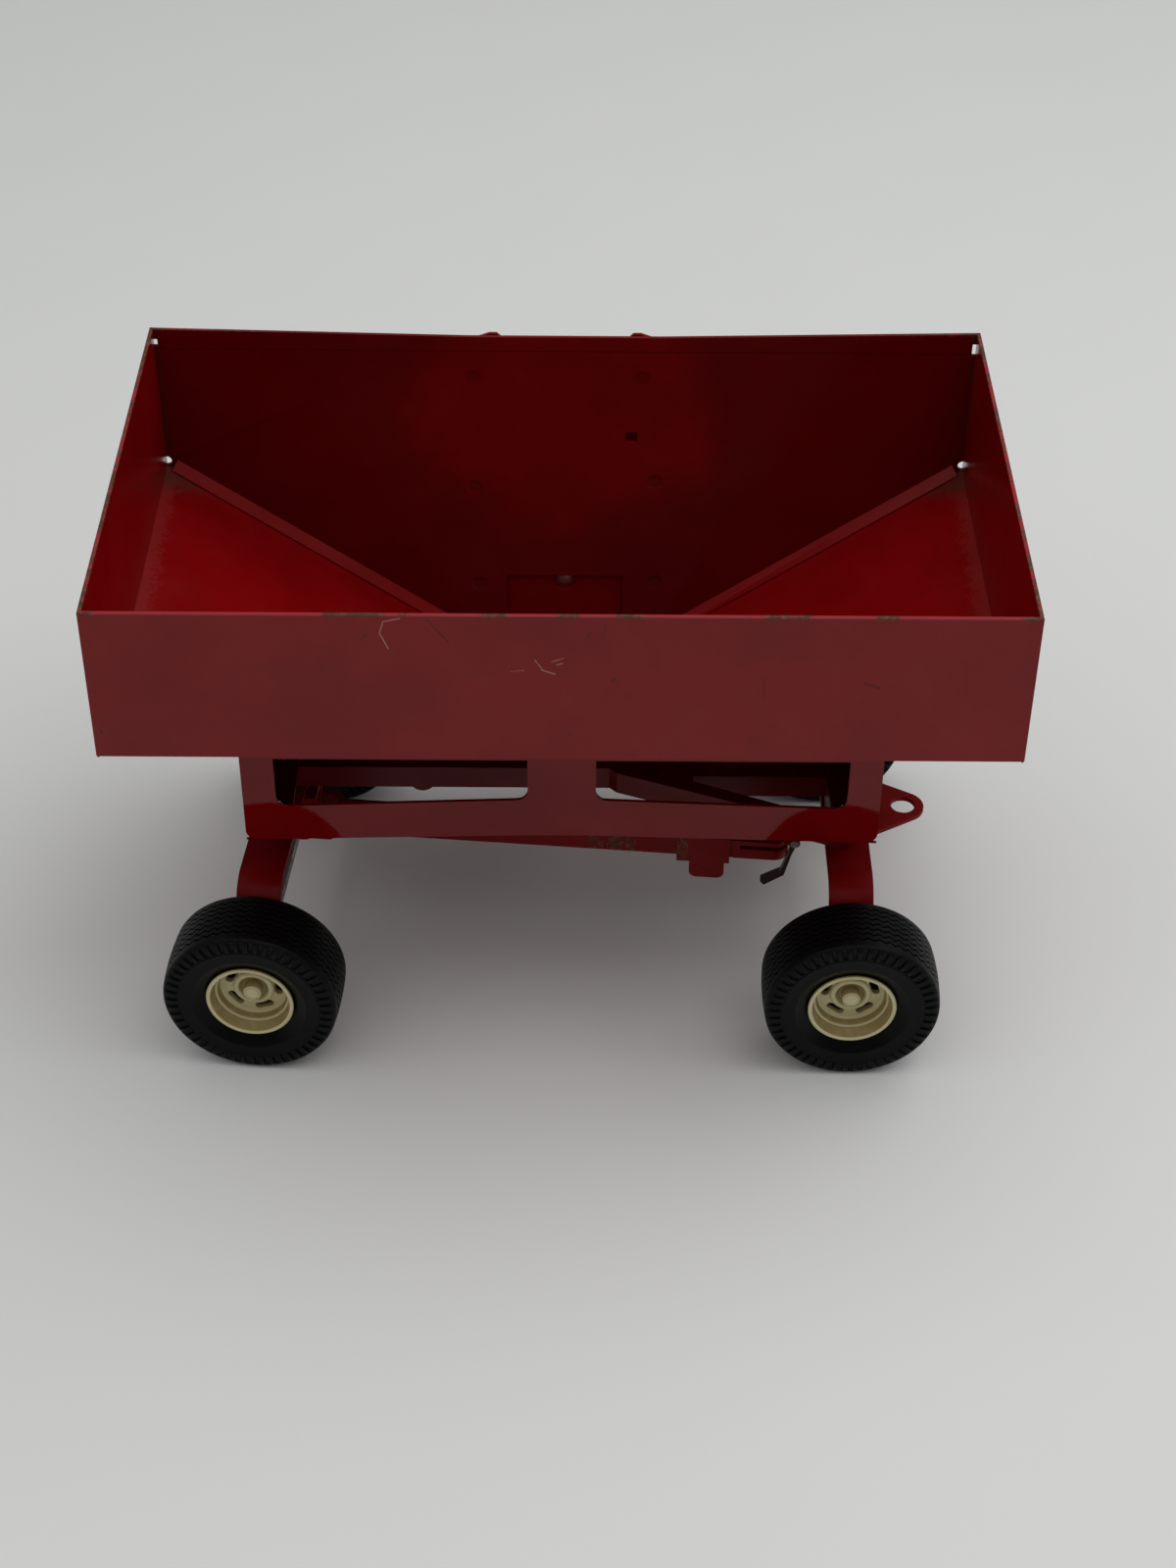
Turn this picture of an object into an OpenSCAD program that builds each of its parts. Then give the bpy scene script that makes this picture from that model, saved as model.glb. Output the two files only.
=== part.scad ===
// Toy gravity wagon: a pressed-steel grain box with sloping floors, on a
// folded stand and a four-wheel running gear with a turning front axle.
// Frame: the origin is on the ground under the middle of the box. +X points
// to the rear hitch, +Y to the side with the discharge door, +Z up.

/* [Grain box] */
// Length of the box over its end walls
box_len = 228.6; // [224:0.2:232]
// Width of the box over its side walls
box_w = 134.4; // [132:0.2:136]
// Height of the rim above the ground
rim_z = 153.5; // [148:0.5:160]
// How far the door wall's rim sags in the middle
rim_dip = 1.75; // [0:0.05:4]
// Height of the upright side wall's lower edge
crease_z = 110.2; // [108:0.2:112]
// Thickness of the folded sheet steel
sheet = 1; // [0.8:0.1:1.2]
// Slope of the two end floors, in degrees
end_slope = 35.15; // [34:0.05:36]
// Slope of the side floor, in degrees
side_slope = 26.3; // [25.5:0.1:27]

/* [Discharge door] */
// Width of the outlet in the door wall
outlet_w = 34; // [30:0.5:36]
// Height of the outlet's upper edge above the ground
outlet_top = 72; // [68:0.5:76]
// Width of the sliding door
door_w = 45.2; // [43:0.2:46]
// Height of the door's upper edge when it is shut
door_top = 76; // [74:0.5:80]
// Width of the square lock hole in the door wall
lock_hole = 3.3; // [2:0.1:4]

/* [Stand] */
// Length of the stand over its end plates
stand_len = 168.6; // [166:0.2:170]
// Width of the stand over its side plates
stand_w = 74; // [73:0.2:75]
// Height of the stand's lower edge at its corners
stand_z = 57.6; // [57.4:0.1:58]
// Rise of that lower edge towards the middle
stand_rise = 2.1; // [0:0.1:3]
// Height of the windows' upper edge
window_top = 85.3; // [82:0.1:87]

/* [Running gear] */
// Distance from the origin back to the rear axle
rear_x = 78; // [77.6:0.1:79]
// Distance from the origin forward to the kingpin
front_x = 77.6; // [77:0.1:78]
// Height of the axle straps' upper face
strap_top = 47.5; // [46.5:0.1:48]
// Width of an axle strap
strap_w = 12; // [10:0.5:13]
// Half the span over an axle strap's legs
strap_half = 46.5; // [45:0.1:46.6]
// Angle that the front axle is turned to, in degrees
steer = -5; // [-10:0.5:10]

/* [Wheels] */
// Tyre radius
tyre_r = 23.8; // [23:0.1:24]
// Tyre width
tyre_w = 19.05; // [18:0.05:19.2]
// Distance of a rear wheel's middle plane from the centre line
wheel_y = 57.7; // [57.5:0.1:58.5]
// Distance of a front wheel's middle plane from the centre line
front_wheel_y = 56.7; // [56.6:0.1:58]
// Axle rod radius
axle_r = 1.7; // [1.5:0.05:1.8]

/* [Tongue] */
// Distance from the kingpin to the tongue's tip
tongue_len = 141.4; // [136:0.2:141.4]
// Width of the tongue bar
bar_w = 8; // [7:0.2:8.4]
// Height of the tongue bar's lower edge
bar_z0 = 33; // [32.5:0.1:33.5]
// Depth of the tongue bar
bar_h = 6.2; // [6:0.1:6.4]

/* [Hidden] */
$fn = 64;

red = [0.62, 0.03, 0.04];
cream = [0.83, 0.77, 0.55];
black = [0.04, 0.04, 0.04];
steel = [0.55, 0.54, 0.52];

bore_gap = 0.05;                 // radial clearance of a running fit
face_gap = 0.1;                  // clearance between faces that slide
eps = 0.05;                      // overrun of a cutting tool

half_len = box_len / 2;
half_w = box_w / 2;
in_x = half_len - sheet;         // inner face of an end wall
in_y = half_w - sheet;           // inner face of a side wall
side_z0 = crease_z + 1.2;        // top of the side floor at the near wall
end_z0 = crease_z - 0.4;         // top of an end floor at its end wall
sill_z = side_z0 - 2 * in_y * tan(side_slope);
throat_x = in_x - (end_z0 - sill_z) / tan(end_slope);
valley_y = -in_y + (side_z0 - end_z0) / tan(side_slope);
end_drop = sheet / cos(end_slope);     // upright thickness of an end floor
side_drop = sheet / cos(side_slope);   // upright thickness of the side floor

dip_half = 27;                   // half the level stretch of the door wall's rim
tab_top = rim_z - 2.1;           // top of the door guides
relief_r = 1.3;                  // relief holes at the box's corners
lock_x = 18.8;
lock_z = 119.7;

stand_x = stand_len / 2;
stand_y = stand_w / 2;
post_half = 9;                   // half the post between the windows
window_end = 75.5;               // outer end of a window
window_z_out = 69.2;             // window's lower edge at its outer end
window_z_in = 71.9;              // and beside the post
window_r = 3;
foot_r = 3;                      // round of the stand's lower near corners

plate_t = 1.2;                   // thickness of the gear's plates
plate_z = stand_z - 0.4;         // underside of the bolster plates
plate_in = 73;                   // inner end of a bolster plate
reach_half = 5.5;
reach_h = 7;
fork = [13, reach_half];         // where the hounds branch off the reach
hound_bend = [15, 7.5];
hound_to = [77.5, 31.5];
hound_inner = 28.2;              // inner edge of a hound's web at that end
crotch = [36, 10.6];             // inner corner of the web between the hounds
rear_reach_from = 30;
rear_reach_half = 7.2;

strap_t = 1.6;
strap_bend = 9.5;                // outer radius of a strap's bend
bolster_half = 22;
bolster_w = 10.2;
bolster_t = 1.4;
rivet_r = 2;
rivet_head = 3;
rivet_y = 14;

hitch_z = 38.8;                  // underside of the rear hitch plate
hitch_t = 1.4;
hitch_eye = [96.1, 0];
hitch_eye_r = 3.3;
hitch_tip_r = 5.9;
hitch_base = 13.8;               // half width of the plate at its root
hitch_root = rear_x + strap_w / 2 + 0.2;

pin_r = 2.2;                     // kingpin radius
pin_head = 4;
pin_head_t = 1.3;
web_t = 1.4;                     // web of the tongue bracket
strap_under = strap_top - strap_t;

pivot_x = 5;                     // tongue pivot, measured from the kingpin
pivot_z = bar_z0 + bar_h / 2;
pivot_r = 1.5;
bracket_in = 4.2;                // inner face of a bracket ear
bracket_t = 1;
yoke_in = bracket_in + bracket_t + 0.2;
yoke_out = yoke_in + 1.8;
yoke_eye = 3.8;
bar_x0 = 16.2;                   // where the bar leaves the yoke
bar_t = 1.2;
bar_end = 126;
saddle = [110.4, 125.2];
saddle_z = 31.8;
lug = [114, 123.8];
lug_z = 26.2;
jaw_low_top = 36.3;
jaw_up_z = 37.7;
jaw_hole_r = 2;
jaw_hole_x = 131;
latch_x = tongue_len + 1.8;
latch_z = 38.4;
latch_eye = 1.5;
latch_pin_r = 0.75;
latch_half = 1.4;

tyre_half = tyre_w / 2;
rim_r = 11.9;                    // outer radius of the rim's flange
seat_r = 11.4;                   // tyre seat
seat_half = 7.4;
flange_half = 8.3;
disc_top = 2;                    // outer face of the wheel disc
disc_t = 1.3;
slot_r = 6.9;                    // pitch radius of the disc's slots
slot_n = 5;
slot_len = 5.4;
slot_w = 2.2;
front_turn = -14;                // how far a front wheel's slots are turned
rear_turn = 2;
cap_r = 2.5;
cap_base = 1.9;
cap_top = 4.7;

// ---- frames of the moving parts ----

module in_front_frame() {
    translate([-front_x, 0, 0]) rotate([0, 0, steer]) children();
}

// Turns a part made round +Z so that +Z points away from the wagon.
module at_wheel(x, side, out) {
    translate([x, side * out, tyre_r]) rotate([-90 * side, 0, 0]) children();
}

module at_front_wheel(side) { in_front_frame() at_wheel(0, side, front_wheel_y) children(); }
module at_rear_wheel(side) { at_wheel(rear_x, side, wheel_y) children(); }

// A rod along Y between two values of Y.
module rod_y(x, z, y0, y1, r) {
    translate([x, y0, z]) rotate([-90, 0, 0]) cylinder(h = y1 - y0, r = r);
}

// Extrudes an outline drawn in X and Z between two values of Y.
module slab_y(y0, y1) {
    translate([0, y1, 0]) rotate([90, 0, 0]) linear_extrude(y1 - y0) children();
}

// Extrudes an outline drawn in Y and Z between two values of X.
module slab_x(x0, x1) {
    translate([x0, 0, 0]) rotate([90, 0, 90]) linear_extrude(x1 - x0) children();
}

// What lies outside the round in the corner where an upright edge at x meets
// an edge of the given slope at height z. side is 1 or -1, towards the edge.
module corner(x, z, side, slope, r) {
    run = sqrt(1 + slope * slope);
    cx = x - side * r;
    cz = z + slope * (cx - x) + r * run;
    difference() {
        polygon([[x, z], [x, cz], [cx, cz], [cx + r * slope / run, cz - r / run]]);
        translate([cx, cz]) circle(r);
    }
}

// ---- grain box ----

module near_side_panel() {
    fold = [-in_y - sheet * sin(side_slope), side_z0 - sheet * cos(side_slope)];
    color(red) slab_x(-half_len, half_len) polygon([
        [-half_w, crease_z], [-half_w, rim_z], [-in_y, rim_z], [-in_y, side_z0],
        fold, [fold[0], crease_z]]);
}

module near_side_floor() {
    run = 1 / cos(side_slope);
    color(red) translate([0, -in_y, side_z0]) rotate([-side_slope, 0, 0])
        translate([0, 0, -sheet]) linear_extrude(sheet) polygon([
            [-in_x, 0], [in_x, 0], [in_x, (valley_y + in_y) * run],
            [throat_x, 2 * in_y * run], [-throat_x, 2 * in_y * run],
            [-in_x, (valley_y + in_y) * run]]);
}

// Draws in the plane of the front end floor: X runs down the slope.
module on_front_slope() {
    translate([-in_x, 0, end_z0]) rotate([0, end_slope, 0]) children();
}

module end_panel() {
    fold = [-in_x - sheet * sin(end_slope), end_z0 - sheet * cos(end_slope)];
    slab_y(-in_y, in_y) polygon([
        [-half_len, rim_z], [-in_x, rim_z], [-in_x, end_z0], fold, [-half_len, fold[1]]]);
}

module end_floor() {
    run = 1 / cos(end_slope);
    on_front_slope() translate([0, 0, -sheet]) linear_extrude(sheet)
        polygon([[0, valley_y], [0, in_y - relief_r], [relief_r, in_y],
                 [(in_x - throat_x) * run, in_y]]);
}

// A strip folded in from the door wall, down on to the end floor.
module seam_flange() {
    run = 1 / cos(end_slope);
    start = 1.6;
    end = 2.2;                   // stops short of the side floor
    foot = 0.1;
    on_front_slope() translate([start, 0, 0]) rotate([90, 0, 90])
        linear_extrude((in_x - throat_x) * run - start - end)
            polygon([[in_y, 3], [in_y - 2.6, 0.4], [in_y - 2.3, foot],
                     [in_y - 1.6, foot], [in_y, 1.7]]);
}

module front_end_panel() { color(red) end_panel(); }
module front_end_floor() { color(red) end_floor(); }
module rear_end_panel() { color(red) mirror([1, 0, 0]) end_panel(); }
module rear_end_floor() { color(red) mirror([1, 0, 0]) end_floor(); }
module front_seam_flange() { color(red) seam_flange(); }
module rear_seam_flange() { color(red) mirror([1, 0, 0]) seam_flange(); }

module door_side_wall() {
    wall_low = sill_z - 2;
    notch_w = 1.9;               // reach of the notches beside the end walls
    notch_top = rim_z - 3.2;
    color(red) difference() {
        slab_y(in_y, half_w) difference() {
            polygon([[-half_len, rim_z], [-dip_half, rim_z - rim_dip],
                     [dip_half, rim_z - rim_dip], [half_len, rim_z],
                     [half_len, end_z0 - end_drop], [throat_x + 2, wall_low],
                     [-throat_x - 2, wall_low], [-half_len, end_z0 - end_drop]]);
            translate([-outlet_w / 2, wall_low - 1])
                square([outlet_w, outlet_top - wall_low + 1]);
            translate([lock_x - lock_hole / 2, lock_z - lock_hole / 2])
                square(lock_hole);
            for (side = [-1, 1]) translate([side * in_x, end_z0 + 1.2])
                circle(relief_r);
        }
        for (notch = [[-1, 2], [1, 3.4]])
            translate([notch[0] * half_len - notch_w, in_y - eps, notch_top - notch[1]])
                cube([2 * notch_w, sheet + 2 * eps, notch[1]]);
    }
}

// ---- door ----

door_y0 = half_w + 0.2;          // inner face of the door
door_y1 = door_y0 + 1;
boss_t = 0.8;                    // how far the rivet's dimple stands out
boss_r = 4.4;
dimple_r = 3.4;
door_rivet_z = 69.5;
pull_t = 0.7;

module door_guide() {
    foot_in = door_w / 2 + 0.9;
    cover_in = 16.9;
    cover_out = foot_in + 1;
    cover_y = door_y1 + 0.2;
    crown = [18.9, 21];          // level stretch of the cover's top
    foot_top = tab_top - 1.4;
    guide_low = sill_z - 2;
    translate([foot_in, half_w, guide_low]) cube([5, 1, foot_top - guide_low]);
    translate([foot_in, half_w, guide_low])
        cube([1, cover_y - half_w + 1, foot_top - guide_low]);
    slab_y(cover_y, cover_y + 1) polygon([
        [cover_in, guide_low], [cover_in, tab_top - 1.9], [crown[0], tab_top],
        [crown[1], tab_top], [cover_out, tab_top - 1.3], [cover_out, guide_low]]);
}

module front_door_guide() { color(red) mirror([1, 0, 0]) door_guide(); }
module rear_door_guide() { color(red) door_guide(); }

module outlet_lip() {
    reach = (half_w + 3 - in_y) / cos(side_slope);
    color(red) translate([-outlet_w / 2, in_y, sill_z]) rotate([-side_slope, 0, 0])
        translate([0, 0, -sheet]) cube([outlet_w, reach, sheet]);
}

module door() {
    door_low = sill_z - 0.5;
    color(red) difference() {
        union() {
            translate([-door_w / 2, door_y0, door_low])
                cube([door_w, door_y1 - door_y0, door_top - door_low]);
            rod_y(0, door_rivet_z, door_y0 + 0.5, door_y1 + boss_t, boss_r);
        }
        rod_y(0, door_rivet_z, door_y0 - eps, door_y1, dimple_r);
        rod_y(0, door_rivet_z, door_y0, door_y1 + boss_t + eps, 1);
    }
}

module door_pull() {
    pull_half = 4.5;
    pull_low = 60;
    y0 = door_y1 + boss_t;
    color(red) difference() {
        union() {
            translate([-pull_half, y0, pull_low])
                cube([2 * pull_half, pull_t, door_rivet_z - pull_low]);
            rod_y(0, door_rivet_z, y0, y0 + pull_t, pull_half);
            translate([-pull_half, y0 + 0.5, pull_low]) rotate([0, 90, 0])
                cylinder(h = 2 * pull_half, r = 0.5);
        }
        rod_y(0, door_rivet_z, y0 - eps, y0 + pull_t + eps, 1);
    }
}

module door_rivet() {
    y0 = door_y1 + boss_t;
    dome_r = 3.6;
    dome_h = 0.9;
    color(steel) {
        rod_y(0, door_rivet_z, door_y1 - eps, y0 + pull_t + 0.05, 1);
        rod_y(0, door_rivet_z, y0 + pull_t, y0 + pull_t + 0.3, 1.8);
        intersection() {
            translate([0, door_y1 - dome_h + dome_r, door_rivet_z]) sphere(dome_r);
            rod_y(0, door_rivet_z, door_y0, door_y1, dimple_r);
        }
    }
}

// ---- stand ----

module window(side) {
    slope = side * (window_z_out - window_z_in) / (window_end - post_half);
    difference() {
        polygon([[side * post_half, window_top], [side * window_end, window_top],
                 [side * window_end, window_z_out], [side * post_half, window_z_in]]);
        corner(side * window_end, window_z_out, side, slope, window_r);
        corner(side * post_half, window_z_in, -side, slope, window_r);
    }
}

module stand_near_panel() {
    floor_under = side_z0 - (in_y - stand_y + sheet) * tan(side_slope) - side_drop;
    rise = stand_rise / (stand_x - post_half);
    color(red) slab_y(-stand_y, -stand_y + sheet) difference() {
        polygon([[-stand_x, stand_z], [-post_half, stand_z + stand_rise],
                 [post_half, stand_z + stand_rise], [stand_x, stand_z],
                 [stand_x, floor_under], [-stand_x, floor_under]]);
        for (side = [-1, 1]) {
            window(side);
            corner(side * stand_x, stand_z, side, -side * rise, foot_r);
        }
    }
}

function end_under(x) = end_z0 - (in_x - x) * tan(end_slope) - end_drop;

module stand_gusset() {
    toe = in_x - (end_z0 - end_drop - stand_z) / tan(end_slope);
    slab_y(stand_y - sheet, stand_y)
        polygon([[-stand_x, stand_z], [-stand_x, end_under(stand_x)], [-toe, stand_z]]);
}

module stand_end_plate() {
    inner = stand_x - sheet;
    top = end_under(inner);
    turn = -in_y + (side_z0 - side_drop - top) / tan(side_slope);
    near_top = side_z0 - (in_y - stand_y + sheet) * tan(side_slope) - side_drop;
    slab_x(-stand_x, -inner)
        polygon([[-stand_y + sheet, stand_z + foot_r], [-stand_y + sheet + foot_r, stand_z],
                 [stand_y - sheet, stand_z],
                 [stand_y - sheet, top], [turn, top], [-stand_y + sheet, near_top]]);
}

module stand_front_gusset() { color(red) stand_gusset(); }
module stand_rear_gusset() { color(red) mirror([1, 0, 0]) stand_gusset(); }
module stand_front_plate() { color(red) stand_end_plate(); }
module stand_rear_plate() { color(red) mirror([1, 0, 0]) stand_end_plate(); }

// ---- running gear ----

module bolster_plate() {
    translate([-stand_x + sheet, -stand_y + sheet, plate_z])
        cube([stand_x - sheet - plate_in, 2 * (stand_y - sheet), plate_t]);
}

module front_bolster_plate() {
    color(red) difference() {
        bolster_plate();
        translate([-front_x, 0, plate_z - eps]) cylinder(h = plate_t + 2 * eps, r = pin_r);
    }
}

module rear_bolster_plate() {
    color(red) difference() {
        mirror([1, 0, 0]) bolster_plate();
        rivet_bores();
    }
}

module rivet_bores() {
    for (side = [-1, 1]) translate([rear_x, side * rivet_y, strap_under - 3])
        cylinder(h = 20, r = rivet_r);
}

module rear_bolster() {
    color(red) difference() {
        slab_y(-bolster_half, bolster_half) difference() {
            translate([rear_x - bolster_w / 2, strap_top])
                square([bolster_w, plate_z - strap_top]);
            translate([rear_x - bolster_w / 2 + bolster_t, strap_top - 1])
                square([bolster_w - 2 * bolster_t, plate_z - strap_top + 1 - bolster_t]);
        }
        rivet_bores();
    }
}

module rear_bolster_rivets() {
    top = plate_z + plate_t;
    color(red) for (side = [-1, 1]) translate([rear_x, side * rivet_y, 0]) {
        translate([0, 0, strap_under - 1]) cylinder(h = 1, r = rivet_head);
        translate([0, 0, strap_under - 0.5]) cylinder(h = top - strap_under + 1, r = rivet_r);
        translate([0, 0, top]) cylinder(h = 1, r = rivet_head);
    }
}

// A channel that opens downwards, with a rounded tab below each flange.
module reach_channel() {
    low = plate_z - reach_h;
    tab_x = -39;
    tab_r = 3.5;
    color(red) difference() {
        union() {
            translate([-stand_x + sheet, -reach_half, low])
                cube([stand_x - sheet + fork[0], 2 * reach_half, reach_h]);
            rod_y(tab_x, low + 2.2, -reach_half, reach_half, tab_r);
        }
        translate([-stand_x, -reach_half + plate_t, low - 3])
            cube([stand_x + fork[0] + 1, 2 * (reach_half - plate_t), reach_h + 3 - plate_t]);
        translate([-front_x, 0, low]) cylinder(h = 10, r = pin_r);
    }
}

// Half of the fork behind the reach: a web that narrows to an angle bar out
// to a rear corner of the stand.
module hound() {
    span = hound_to - hound_bend;
    skew = plate_t * norm(span) / span[0];
    translate([0, 0, plate_z - plate_t]) linear_extrude(plate_t) polygon([
        [fork[0], 0], [crotch[0], 0], [crotch[0], -crotch[1]], [hound_to[0], -hound_inner],
        [hound_to[0], -hound_to[1]], [hound_bend[0], -hound_bend[1]], [fork[0], -fork[1]]]);
    translate([0, 0, plate_z - reach_h]) linear_extrude(reach_h - plate_t) polygon([
        [fork[0], -fork[1]], [hound_bend[0], -hound_bend[1]], [hound_to[0], -hound_to[1]],
        [hound_to[0], -hound_to[1] + skew], [hound_bend[0], -hound_bend[1] + skew],
        [fork[0], -fork[1] + plate_t]]);
}

// A wider channel from under the fork's web back to the rear bolster.
module rear_reach() {
    top = plate_z - plate_t;
    color(red) difference() {
        translate([rear_reach_from, -rear_reach_half, top - reach_h])
            cube([rear_x - bolster_w / 2 - rear_reach_from, 2 * rear_reach_half, reach_h]);
        translate([rear_reach_from - 1, -rear_reach_half + plate_t, top - reach_h - 1])
            cube([50, 2 * (rear_reach_half - plate_t), reach_h + 1 - plate_t]);
    }
}

module near_hound() { color(red) hound(); }
module far_hound() { color(red) mirror([0, 1, 0]) hound(); }

module kingpin() {
    low = strap_under - web_t - face_gap - pin_head_t;
    top = plate_z + plate_t;
    color(steel) translate([-front_x, 0, 0]) {
        translate([0, 0, low]) cylinder(h = pin_head_t, r = pin_head);
        translate([0, 0, low]) cylinder(h = top - low + 1, r = pin_r);
        translate([0, 0, top]) cylinder(h = pin_head_t, r = pin_head);
    }
}

module kingpin_spacer() {
    low = strap_top + face_gap;
    color(steel) translate([-front_x, 0, low]) difference() {
        cylinder(h = plate_z - plate_t - low, r = pin_head - 0.2);
        translate([0, 0, -eps]) cylinder(h = plate_z, r = pin_r);
    }
}

// A block with its two upper corners rounded, drawn in Y and Z.
module arch(half, top, low, r) {
    translate([-half, low]) square([2 * half, top - r - low]);
    translate([-(half - r), low]) square([2 * (half - r), top - low]);
    for (side = [-1, 1]) translate([side * (half - r), top - r]) circle(r);
}

// A strap bent down at both ends, round the axle at x = 0.
module axle_strap(bore) {
    half = strap_w / 2;
    difference() {
        union() {
            slab_x(-half, half) difference() {
                arch(strap_half, strap_top, tyre_r, strap_bend);
                arch(strap_half - strap_t, strap_under, tyre_r - 1, strap_bend - strap_t);
            }
            for (side = [-1, 1])
                rod_y(0, tyre_r, side * strap_half - (side > 0 ? strap_t : 0),
                      side * strap_half + (side > 0 ? 0 : strap_t), half);
        }
        rod_y(0, tyre_r, -strap_half - 1, strap_half + 1, axle_r);
        if (bore > 0) translate([0, 0, strap_under - 1]) cylinder(h = 5, r = bore);
    }
}

module rear_axle_strap() {
    color(red) difference() {
        translate([rear_x, 0, 0]) axle_strap(0);
        rivet_bores();
    }
}

axle_past = cap_top - 1;         // how far an axle runs past a wheel's middle

module rear_axle() {
    half = wheel_y + axle_past;
    color(steel) rod_y(rear_x, tyre_r, -half, half, axle_r);
}

module rear_hitch_plate() {
    away = [hitch_root, hitch_base] - hitch_eye;
    tangent = atan2(away[1], away[0]) - acos(hitch_tip_r / norm(away));
    touch = hitch_tip_r * [cos(tangent), sin(tangent)];
    color(red) difference() {
        union() {
            translate([rear_x - 5, -8, strap_under - hitch_t])
                cube([hitch_root + hitch_t - rear_x + 5, 16, hitch_t]);
            translate([hitch_root, -8, hitch_z])
                cube([hitch_t, 16, strap_under - hitch_z]);
            translate([0, 0, hitch_z]) linear_extrude(hitch_t) polygon([
                [hitch_root, hitch_base], hitch_eye + touch,
                hitch_eye + [touch[0], -touch[1]], [hitch_root, -hitch_base]]);
            translate([hitch_eye[0], hitch_eye[1], hitch_z])
                cylinder(h = hitch_t, r = hitch_tip_r);
        }
        translate([hitch_eye[0], hitch_eye[1], hitch_z - eps])
            cylinder(h = hitch_t + 2 * eps, r = hitch_eye_r);
    }
}

// ---- wheels, made round +Z with the outer side up ----

module tyre() {
    shoulder = 2.2;
    mouth = 15.5;
    lip = rim_r + 0.4;
    h = tyre_half;
    color(black) rotate_extrude() difference() {
        union() {
            translate([seat_r, -h]) square([tyre_r - shoulder - seat_r, 2 * h]);
            translate([seat_r, -h + shoulder])
                square([tyre_r - seat_r, 2 * (h - shoulder)]);
            for (side = [-1, 1]) translate([tyre_r - shoulder, side * (h - shoulder)])
                circle(shoulder);
        }
        for (side = [-1, 1]) polygon([
            [seat_r - 1, side * seat_half], [lip, side * seat_half],
            [mouth, side * h], [mouth, side * (h + 1)], [seat_r - 1, side * (h + 1)]]);
    }
}

// out is the distance of the wheel's middle plane from the centre line.
module rim(out, turn) {
    hub_low = -(out - strap_half - 0.2);
    hub_r = 3.6;
    ring_r = 5.5;
    ring_top = disc_top + 0.9;
    dish = disc_top - 0.3;
    bore = axle_r + bore_gap;
    under = disc_top - disc_t;
    inner = 10;                  // inner radius of the rim's barrel
    ledge = 4.5;                 // height of the step outside the disc
    flat = 8.5;                  // radius where the disc turns up to the step
    color(cream) difference() {
        rotate_extrude() {
            polygon([[inner, -flange_half], [rim_r, -flange_half], [rim_r, -seat_half],
                     [seat_r, -seat_half], [seat_r, seat_half], [rim_r, seat_half],
                     [rim_r, flange_half], [10.7, flange_half], [10.1, ledge + 0.2],
                     [9.5, ledge], [9.2, 2.9], [flat, disc_top], [flat, under],
                     [inner, under]]);
            translate([ring_r - 0.5, under]) square([flat - ring_r + 0.5, disc_t]);
            // the inner half's own disc, without slots
            translate([hub_r - 0.5, -disc_top - disc_t]) square([inner - hub_r + 1, disc_t]);
            polygon([[bore, hub_low], [hub_r, hub_low], [hub_r, under], [ring_r, under],
                     [ring_r, ring_top - 0.4], [ring_r - 0.4, ring_top],
                     [ring_r - 1, ring_top], [3.1, dish], [bore, dish]]);
        }
        rotate([0, 0, turn]) for (i = [0 : slot_n - 1]) rotate([0, 0, 90 + i * 360 / slot_n])
            translate([slot_r, 0, under - 1]) {
                straight = slot_len - slot_w;
                translate([-slot_w / 2, -straight / 2, 0]) cube([slot_w, straight, 3]);
                for (side = [-1, 1]) translate([0, side * straight / 2, 0])
                    cylinder(h = 3, r = slot_w / 2);
            }
    }
}

module cap() {
    color(cream) difference() {
        translate([0, 0, cap_base]) cylinder(h = cap_top - cap_base, r = cap_r);
        translate([0, 0, cap_base - eps])
            cylinder(h = axle_past - cap_base + eps, r = axle_r);
    }
}

module front_near_rim() { at_front_wheel(-1) rim(front_wheel_y, front_turn); }
module front_near_tyre() { at_front_wheel(-1) tyre(); }
module front_far_rim() { at_front_wheel(1) rim(front_wheel_y, front_turn); }
module front_far_tyre() { at_front_wheel(1) tyre(); }
module rear_near_rim() { at_rear_wheel(-1) rim(wheel_y, rear_turn); }
module rear_near_tyre() { at_rear_wheel(-1) tyre(); }
module rear_far_rim() { at_rear_wheel(1) rim(wheel_y, rear_turn); }
module rear_far_tyre() { at_rear_wheel(1) tyre(); }
module rear_near_cap() { at_rear_wheel(-1) cap(); }
module rear_far_cap() { at_rear_wheel(1) cap(); }
module front_near_cap() { at_front_wheel(-1) cap(); }
module front_far_cap() { at_front_wheel(1) cap(); }

// ---- front axle and tongue, drawn with the kingpin at x = 0 ----

module front_axle_strap() { color(red) in_front_frame() axle_strap(pin_r + bore_gap); }

module front_axle() {
    half = front_wheel_y + axle_past;
    color(steel) in_front_frame() rod_y(0, tyre_r, -half, half, axle_r);
}

module tongue_bracket() {
    ear_r = 4;
    web_z = strap_under - web_t;
    color(red) in_front_frame() difference() {
        union() {
            translate([-6, -bracket_in - bracket_t, web_z])
                cube([pivot_x + ear_r + 6, 2 * (bracket_in + bracket_t), web_t]);
            for (side = [-1, 1]) {
                y0 = side > 0 ? bracket_in : -bracket_in - bracket_t;
                translate([pivot_x - ear_r, y0, pivot_z])
                    cube([2 * ear_r, bracket_t, web_z + web_t - pivot_z]);
                rod_y(pivot_x, pivot_z, y0, y0 + bracket_t, ear_r);
            }
        }
        translate([0, 0, web_z - 1]) cylinder(h = 5, r = pin_r + bore_gap);
        rod_y(pivot_x, pivot_z, -10, 10, pivot_r);
    }
}

module tongue_pin() {
    head_r = 2.4;
    head_t = 0.8;
    end = yoke_out + face_gap;
    color(steel) in_front_frame() {
        rod_y(pivot_x, pivot_z, -end - head_t, end + head_t, pivot_r);
        rod_y(pivot_x, pivot_z, -end - head_t, -end, head_r);
        rod_y(pivot_x, pivot_z, end, end + head_t, head_r);
    }
}

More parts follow.
